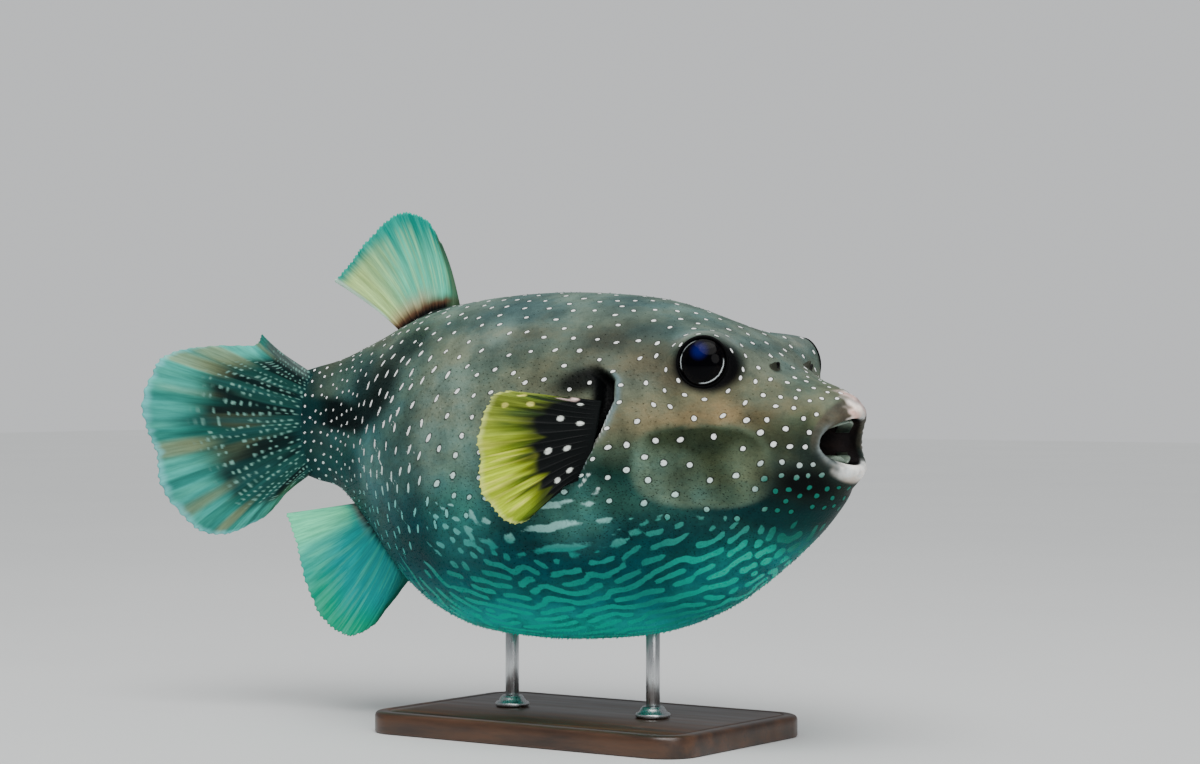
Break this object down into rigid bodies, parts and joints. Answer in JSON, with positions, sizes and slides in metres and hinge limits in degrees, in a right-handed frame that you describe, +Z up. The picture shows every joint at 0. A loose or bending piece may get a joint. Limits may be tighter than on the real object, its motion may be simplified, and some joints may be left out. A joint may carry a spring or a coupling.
{
  "type": "white-spotted pufferfish model",
  "caption": "Life-size pufferfish, belly partly inflated, mouth open and fins spread as in swimming, held on a flat display base by two short upright rods.",
  "frame": {"origin": "centre of the underside of the stand's base, on the surface it stands on", "axes": "+X towards the fish's snout, +Y towards its left side, +Z up"},
  "size_m": [0.3985, 0.1904, 0.2452],
  "materials": {
    "skin": "satin",
    "lips": "satin",
    "eye": "gloss",
    "beak": "satin",
    "tail_fin": "satin",
    "pale_fin": "satin",
    "pectoral_fin": "satin",
    "stand_base": "satin",
    "stand_rod": "satin"
  },
  "bodies": {
    "root": {"head": "skin", "trunk": "skin", "tail": "skin", "lip_upper": "lips", "lip_lower": "lips", "nostril_right": "skin", "nostril_left": "skin", "eye_right": "eye", "eye_left": "eye", "beak_upper": "beak", "beak_lower": "beak", "caudal_fin": "tail_fin", "dorsal_fin": "pale_fin", "anal_fin": "pale_fin", "pectoral_fin_right": "pectoral_fin", "pectoral_fin_left": "pectoral_fin", "stand_base": "stand_base", "stand_rod_front": "stand_rod", "stand_rod_rear": "stand_rod", "stand_collar_front": "stand_rod", "stand_collar_rear": "stand_rod"}
  },
  "joints": []
}
